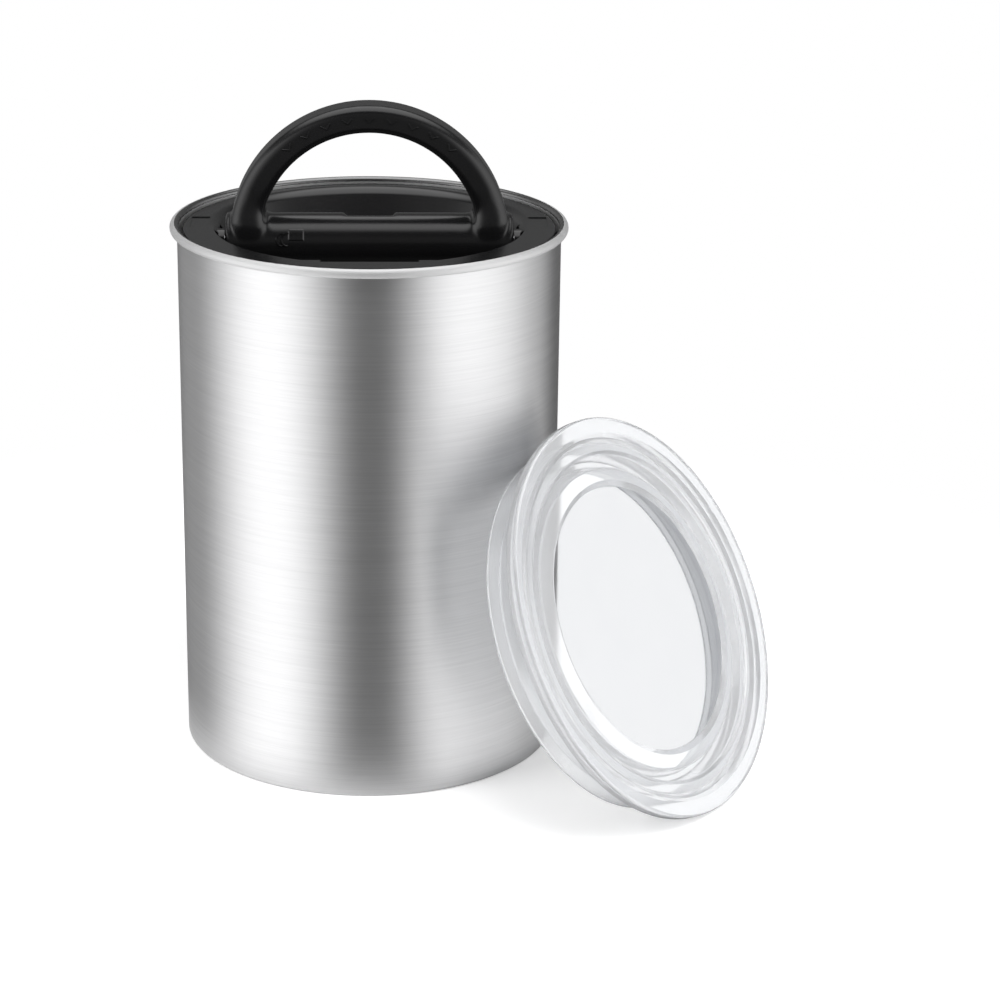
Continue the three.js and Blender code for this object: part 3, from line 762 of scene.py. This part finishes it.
draw_outline("folding_handle", [
    (arch_radius - arch_width, -arch_depth / 2, arch_inner_round),
    (arch_radius, -arch_depth / 2, arch_outer_round),
    (arch_radius, arch_depth / 2, arch_outer_round),
    (arch_radius - arch_width, arch_depth / 2, arch_inner_round),
], closed=True)
bpy.ops.mesh.select_all(action="SELECT")
bpy.ops.mesh.spin(steps=arch_steps, angle=-math.pi, center=(0, 0, 0), axis=(0, 0, 1))
bpy.ops.mesh.select_all(action="SELECT")
bpy.ops.mesh.fill_holes(sides=0)
handle = close_skin()
for vertex in handle.data.vertices:
    rise = max(0, vertex.co.y / vertex.co.xy.length)
    above = min(1, max(0, (arch_radius * rise - barrel_radius) / leg_flare_height))
    flare = leg_flare * (1 - above) ** 2
    width = arch_width * rise + leg_width * (1 - rise) + flare
    reach = arch_radius - (arch_radius - vertex.co.xy.length) * width / arch_width
    vertex.co.xy *= reach / vertex.co.xy.length
    vertex.co.z *= 1 + 2 * flare / arch_depth
handle.rotation_euler.x = math.pi / 2
handle.location = pivot
apply_place(handle)
barrel = turned("barrel", [
    (0, -barrel_half),
    (barrel_radius, -barrel_half, barrel_end_round),
    (barrel_radius, barrel_half, barrel_end_round),
    (0, barrel_half),
])
barrel.rotation_euler.y = math.pi / 2
barrel.location = pivot
apply_place(barrel)
combine(barrel, "DIFFERENCE", flat_cutter(flat_half, flat_depth, flat_tilt, flat_end_round))
combine(barrel, "DIFFERENCE", flat_cutter(thumb_half, thumb_depth, thumb_tilt))
combine(handle, "UNION", barrel)
nose_place = Vector((0, 0, handle_low.z + nose_radius))
nose_reach = nose_half * along_pivot
combine(handle, "UNION", bar(nose_radius, nose_place - nose_reach, nose_place + nose_reach))
for side in (-1, 1):
    bore_start = pivot + side * (barrel_half - pin_grip - fit) * along_pivot
    bore_end = bore_start + side * barrel_half * along_pivot
    combine(handle, "DIFFERENCE", bar(pin_radius + fit, bore_start, bore_end))
skin = handle.modifiers.new("skin", "REMESH")
skin.mode = "VOXEL"
skin.voxel_size = skin_voxel
soft = handle.modifiers.new("soft", "SMOOTH")
soft.factor = smooth_factor
soft.iterations = skin_softening
apply_modifiers(handle)
feet = handle.vertex_groups.new(name="feet")
for vertex in handle.data.vertices:
    side, height = abs(vertex.co.x), vertex.co.z - pivot.z
    share = between(side, fillet_inside, fillet_outside, fillet_fade)
    share *= between(height, fillet_low, fillet_high, fillet_fade)
    feet.add([vertex.index], share, "REPLACE")
fillet = handle.modifiers.new("fillet", "SMOOTH")
fillet.factor = smooth_factor
fillet.iterations = fillet_softening
fillet.vertex_group = feet.name
apply_modifiers(handle)
bpy.ops.object.shade_smooth()
handle.data.materials.clear()
handle.data.materials.append(black_moulding)
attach(handle, "handle")
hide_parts("handle")

# Marks on the handle
# Low raised signs moulded with it in the same plastic: a row of chevrons on the arch's front, and an
# open padlock, lying on its side, on the barrel.
mark_rise = 0.32 * MM
mark_sink = 0.2 * MM
chevron_slope = 0.22 * MM
chevron_radius = 42.2 * MM
chevron_half = 1.8 * MM
chevron_tall = 1.3 * MM
chevron_stroke = 0.9 * MM
chevron_count = 9
chevron_spread = math.radians(78)
lock_slope = 0.44 * MM
lock_place = -28.5 * MM
lock_climb = 2.6 * MM
lock_cuts = 8
shackle_inside, shackle_outside = 1.6 * MM, 2.6 * MM
shackle_leg = 1.6 * MM
shackle_steps = 24
lock_plate_start, lock_plate_end = 1.7 * MM, 7 * MM
lock_plate_low, lock_plate_high = -0.4 * MM, 3.6 * MM


def raise_top(test, slope):
    """In edit mode, lifts the face whose vertices pass the test, with sloping sides."""
    bpy.ops.mesh.select_all(action="SELECT")
    bpy.ops.mesh.normals_make_consistent(inside=False)
    choose(test)
    bpy.ops.mesh.inset(thickness=slope, depth=mark_rise)


draw_outline("press_marks", [
    (-chevron_half, chevron_radius + chevron_tall),
    (0, chevron_radius - chevron_tall + chevron_stroke),
    (chevron_half, chevron_radius + chevron_tall),
    (chevron_half, chevron_radius + chevron_tall - chevron_stroke),
    (0, chevron_radius - chevron_tall),
    (-chevron_half, chevron_radius + chevron_tall - chevron_stroke),
], closed=True)
bpy.ops.mesh.select_all(action="SELECT")
bpy.ops.mesh.edge_face_add()
bpy.ops.mesh.extrude_region_move(TRANSFORM_OT_translate={"value": (0, -mark_sink, 0)})
raise_top(lambda place: place.y < -mark_sink / 2, chevron_slope)
chevron = close_skin()
chevron.location = pivot + Vector((0, mark_sink - arch_depth / 2, 0))
chevrons = [chevron]
for i in range(1, chevron_count):
    pick(chevron)
    bpy.ops.object.duplicate()
    chevrons.append(bpy.context.object)
for i, mark in enumerate(chevrons):
    mark.rotation_euler.y = chevron_spread * (i / (chevron_count - 1) - 0.5)
    apply_place(mark)
pick(chevron)
for mark in chevrons:
    mark.select_set(True)
bpy.ops.object.join()

draw_outline("lock_sign", [
    (shackle_inside, -mark_sink),
    (shackle_outside, -mark_sink),
    (shackle_outside - lock_slope, mark_rise),
    (shackle_inside + lock_slope, mark_rise),
], closed=True)
bpy.ops.mesh.select_all(action="SELECT")
bpy.ops.mesh.spin(steps=shackle_steps, angle=math.pi, center=(0, 0, 0), axis=(0, 0, 1))
bpy.ops.mesh.select_all(action="SELECT")
bpy.ops.mesh.fill_holes(sides=0)
lock_sign = close_skin()
lock_sign.rotation_euler.z = -math.pi / 2
apply_place(lock_sign)
bpy.ops.object.mode_set(mode="EDIT")
bpy.ops.mesh.select_mode(type="FACE")
choose(lambda place: place.x > -SAME_PLACE)
bpy.ops.mesh.extrude_region_move(TRANSFORM_OT_translate={"value": (shackle_leg, 0, 0)})
bpy.ops.mesh.select_mode(type="VERT")
close_skin()
plate = block((lock_plate_start, lock_plate_low, -mark_sink), (lock_plate_end, lock_plate_high, 0))
bpy.ops.object.mode_set(mode="EDIT")
raise_top(lambda place: place.z > -mark_sink / 2, lock_slope)
bpy.ops.mesh.select_all(action="SELECT")
bpy.ops.mesh.subdivide(number_cuts=lock_cuts)
bpy.ops.object.mode_set(mode="OBJECT")
plate.select_set(True)
lock_sign.select_set(True)
bpy.context.view_layer.objects.active = lock_sign
bpy.ops.object.join()
for vertex in lock_sign.data.vertices:
    along, climb, rise = vertex.co
    turn = (climb + lock_climb) / barrel_radius
    reach = barrel_radius + rise
    vertex.co = pivot + Vector((along + lock_place, -reach * math.cos(turn), reach * math.sin(turn)))
bpy.ops.object.mode_set(mode="EDIT")
close_skin()
for piece in (chevron, lock_sign):
    piece.data.materials.clear()
    piece.data.materials.append(black_moulding)
    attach(piece, "handle")

# Pivot pins
# Two ground steel pins, pressed into the housing's ring. The barrel's ends turn on them as the handle
# folds forward.
pin_end_round = 0.5 * MM
pin_steps = 48
for node in ("pivot_pin_left", "pivot_pin_right"):
    pin_low, pin_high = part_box(node)
    middle = (pin_low + pin_high) / 2
    half = (pin_high.x - pin_low.x) / 2
    pin = turned(node + "_ground", [
        (0, -half),
        (pin_radius, -half, pin_end_round),
        (pin_radius, half, pin_end_round),
        (0, half),
    ], pin_steps)
    pin.rotation_euler.y = math.pi / 2
    pin.location = middle
    apply_place(pin)
    pin.data.materials.append(polished_steel)
    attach(pin, "inner_lid")
    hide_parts(node)

# Clear lid
# A clear moulded lid, taken off and leaning on the body. Its flange covers the rolled rim, and low steps
# lead in to a flat panel. Behind it a skirt fits the body, and a collar inside keeps the panel flat.
same_level = 0.01 * MM
clear_off = next(joint for joint in frame["joints"] if joint["name"] == "clear_lid_off")
clear_axis = Vector(clear_off["axis"]).normalized()
clear_corners = [vertex.co for vertex in frame["nodes"]["clear_lid"].data.vertices]
clear_front = max(corner.dot(clear_axis) for corner in clear_corners)
front_ring = [corner for corner in clear_corners if clear_front - corner.dot(clear_axis) < same_level]
clear_centre = sum(front_ring, Vector()) / len(front_ring)
flange_radius = 67.45 * MM
flange = 4.2 * MM
flange_round = 1.2 * MM
plug_radius = 62 * MM
plug_end_radius = 60.74 * MM
clear_depth = 18 * MM
clear_wall = 2.2 * MM
rim_inside = flange_radius - 5.4 * MM
middle_outside = rim_inside - 2 * MM
middle_level = -1.2 * MM
middle_inside = middle_outside - 3.8 * MM
inner_outside = middle_inside - 1 * MM
inner_level = middle_level - 1 * MM
inner_inside = inner_outside - 8.9 * MM
panel_radius = inner_inside - 1.9 * MM
panel_level = inner_level - 1.2 * MM
step_round = 0.4 * MM
collar_depth = 17.4 * MM
collar_taper = 0.9 * MM
collar_end = inner_outside - clear_wall - collar_taper
root_round = 1 * MM
skirt_end_round = 0.6 * MM


def clear_plastic(name, clearness, haze):
    """Clear acrylic with the faint unevenness of a moulding, more or less polished."""
    material, tree = new_finish(name)
    flow = mottle(tree, scale=60.0, detail=3.0)
    surface(tree, {
        "Base Color": mixed(tree, flow, (0.87, 0.88, 0.9, 1), (0.91, 0.92, 0.935, 1)),
        "Roughness": haze + flow * 0.05,
        "IOR": 1.49,
        "Transmission Weight": clearness,
        "Normal": relief(tree, flow, strength=0.06, depth=0.2 * MM),
    })
    return material


groove_top = inner_level - clear_wall
skirt_end_inside = plug_end_radius - clear_wall
skirt_slope = (plug_radius - plug_end_radius) / (clear_depth - flange)
clear_lid = turned("clear_outer_lid", [
    (0, panel_level - clear_wall),
    (collar_end - collar_taper, panel_level - clear_wall, root_round),
    (collar_end, -collar_depth, skirt_end_round),
    (collar_end + clear_wall, -collar_depth, skirt_end_round),
    (inner_outside, groove_top, root_round),
    (skirt_end_inside + (groove_top + clear_depth) * skirt_slope, groove_top, root_round),
    (skirt_end_inside, -clear_depth, skirt_end_round),
    (plug_end_radius, -clear_depth, skirt_end_round),
    (plug_radius, -flange),
    (flange_radius, -flange, flange_round),
    (flange_radius, 0, flange_round),
    (rim_inside, 0, step_round),
    (middle_outside, middle_level, step_round),
    (middle_inside, middle_level, step_round),
    (inner_outside, inner_level, step_round),
    (inner_inside, inner_level, step_round),
    (panel_radius, panel_level, step_round),
    (0, panel_level),
])
clear_lid.data.materials.append(clear_plastic("clear_plastic", clearness=1.0, haze=0.02))
clear_lid.data.materials.append(clear_plastic("clear_plastic_thick", clearness=0.76, haze=0.08))
for face in clear_lid.data.polygons:
    face.material_index = int(face.center.xy.length > panel_radius)
flats = clear_lid.modifiers.new("flats", "WEIGHTED_NORMAL")
flats.keep_sharp = True
apply_modifiers(clear_lid)
clear_lid.rotation_euler = clear_axis.to_track_quat("Z", "Y").to_euler()
clear_lid.location = clear_centre
apply_place(clear_lid)
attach(clear_lid, "clear_lid")
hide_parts("clear_lid")

# Camera
# The photograph's viewpoint: a long lens a metre away, looking down a little.
camera_place = Vector((0, -0.9425, 0.4104))
camera_yaw = math.radians(2.698)
camera_pitch = math.radians(19.207)
camera_roll = math.radians(0.744)
lens_length = 104.95
sensor_width = 36
bpy.ops.object.camera_add(location=camera_place)
camera = bpy.context.object
facing = Matrix.Rotation(-camera_yaw, 4, "Z") @ Matrix.Rotation(math.pi / 2 - camera_pitch, 4, "X")
camera.rotation_euler = (facing @ Matrix.Rotation(camera_roll, 4, "Z")).to_euler()
camera.data.lens = lens_length
camera.data.sensor_width = sensor_width
bpy.context.scene.camera = camera

# Floor
# A plain pale table top that takes the shadow and fades out into the white surround. Metal mirrors only
# the part of it close to the body.
floor_radius = 0.6
floor_sides = 128
floor_colour = (0.8, 0.8, 0.8, 1)
floor_glow = 0.35
fade_start = 0.2
fade_end = 0.34
metal_fade_start = 0.066
metal_fade_end = 0.085


def over_range(tree, value, start, end, first=0.0, last=1.0, ease="SMOOTHSTEP"):
    """A value that goes from first to last as another goes from start to end."""
    sockets = {"Value": value, "From Min": start, "From Max": end, "To Min": first, "To Max": last}
    return tree.add("ShaderNodeMapRange", {"interpolation_type": ease}, sockets)


floor_finish, tree = new_finish("floor")
place = tree.add("ShaderNodeTexCoord", output="Object")
distance = tree.add("ShaderNodeVectorMath", {"operation": "LENGTH"}, {0: place}, output="Value")
camera_ray = tree.add("ShaderNodeLightPath", output="Is Camera Ray")
metal_ray = camera_ray.beside("Is Glossy Ray")
shown = tree.maths("MAXIMUM", camera_ray, camera_ray.beside("Is Transmission Ray"))
fade = over_range(
    tree,
    distance,
    fade_start + metal_ray * (metal_fade_start - fade_start),
    fade_end + metal_ray * (metal_fade_end - fade_end),
)
table = tree.add("ShaderNodeBsdfDiffuse", inputs={"Color": floor_colour})
glow = tree.add("ShaderNodeEmission", inputs={"Color": shown * floor_glow, "Strength": 1.0})
paper = tree.add("ShaderNodeAddShader", inputs={0: table, 1: glow})
clear_air = tree.add("ShaderNodeBsdfTransparent")
edge = tree.add("ShaderNodeMixShader", inputs={0: fade, 1: paper, 2: clear_air})
tree.add("ShaderNodeOutputMaterial", inputs={"Surface": edge})
bpy.ops.object.select_all(action="DESELECT")
bpy.ops.mesh.primitive_circle_add(vertices=floor_sides, radius=floor_radius, fill_type="NGON")
floor = bpy.context.object
floor.name = "floor"
floor.data.materials.append(floor_finish)

# Studio lights
# Two tall soft boxes at the sides and a wide one above to the right, for the soft shadow on the left.
lamp_target = Vector((0, 0, 0.09))
for name, place, width, height, power in (
    ("left_box", (-0.85, -0.35, 0.45), 0.5, 0.9, 7),
    ("right_box", (0.85, -0.35, 0.45), 0.5, 0.9, 6),
    ("top_box", (0.35, -0.5, 1.1), 0.8, 0.8, 12),
):
    bpy.ops.object.light_add(type="AREA", location=place)
    lamp = bpy.context.object
    lamp.name = name
    lamp.data.shape = "RECTANGLE"
    lamp.data.size = width
    lamp.data.size_y = height
    lamp.data.energy = power
    lamp.rotation_euler = (lamp_target - Vector(place)).to_track_quat("-Z", "Y").to_euler()
    lamp.visible_glossy = False
    lamp.visible_transmission = False

# Surround
# White to the eye and through the clear lid. Bright metal sees a dark studio with a tall soft box at each
# side and a dimmer one behind each, set by their bearings from the front in degrees, and a wide one
# overhead. A place in it is a direction of length 1, so its height runs from -1 to 1.
white = (1, 1, 1, 1)
soft_boxes = (
    {"middle": -130, "lit": 10, "reach": 45, "level": 0.25},
    {"middle": -66, "lit": 6, "reach": 60, "level": 1.65},
    {"middle": 62, "lit": 8, "reach": 54, "level": 1.5},
    {"middle": 110, "lit": 6, "reach": 36, "level": 0.6},
)
dark_level = 0.14
box_top_start, box_top_end = 0.42, 0.6
beside_share, above_share = 1.03, 0.15
overhead_start, overhead_end = 0.68, 0.9
overhead_lean = 0.1
overhead_colour = (2.1, 2.1, 2.1, 1)
back_low, back_high = 0.1, 0.3
back_start, back_end = 0.5, 0.9
back_level = 0.06
matte_colour = (0.55, 0.55, 0.55, 1)
front_start, front_end = -0.6, 0.1
front_level = 0.6
front_level_off_metal = 0.95

world = bpy.data.worlds.new("studio")
world.use_nodes = True
world.node_tree.nodes.clear()
tree = Socket(world.node_tree)
toward = tree.add("ShaderNodeTexCoord", output="Generated")
x = tree.add("ShaderNodeSeparateXYZ", inputs={"Vector": toward})
y, z = x.beside("Y"), x.beside("Z")
bearing = tree.maths("ARCTAN2", x, y * -1.0)
round_about = dark_level
for box in soft_boxes:
    away = tree.maths("ABSOLUTE", bearing - math.radians(box["middle"]))
    lit, reach = math.radians(box["lit"]), math.radians(box["reach"])
    round_about = over_range(tree, away, lit, reach, box["level"], 0.0) + round_about
round_about = round_about * over_range(tree, z, box_top_start, box_top_end, beside_share, above_share)
overhead = over_range(tree, z + y * overhead_lean, overhead_start, overhead_end)
low_back = over_range(tree, z, back_low, back_high, ease="LINEAR")
low_back = low_back * over_range(tree, y, back_start, back_end, ease="LINEAR")
sky = mixed(tree, overhead, round_about + low_back * back_level, overhead_colour)
camera_ray = tree.add("ShaderNodeLightPath", output="Is Camera Ray")
for_metal = mixed(tree, camera_ray.beside("Is Glossy Ray"), matte_colour, sky)
behind = over_range(tree, y, front_start, front_end, ease="LINEAR")
off_metal = tree.maths("MINIMUM", camera_ray.beside("Glossy Depth"), 1.0)
through = mixed(tree, behind, front_level + off_metal * (front_level_off_metal - front_level), white)
for_plastic = mixed(tree, camera_ray.beside("Is Transmission Ray"), for_metal, through)
seen = mixed(tree, camera_ray, for_plastic, white)
background = tree.add("ShaderNodeBackground", inputs={"Color": seen, "Strength": 1.0})
tree.add("ShaderNodeOutputWorld", inputs={"Surface": background})
world.cycles.sampling_method = "NONE"
bpy.context.scene.world = world

bpy.context.scene.view_settings.view_transform = "Standard"
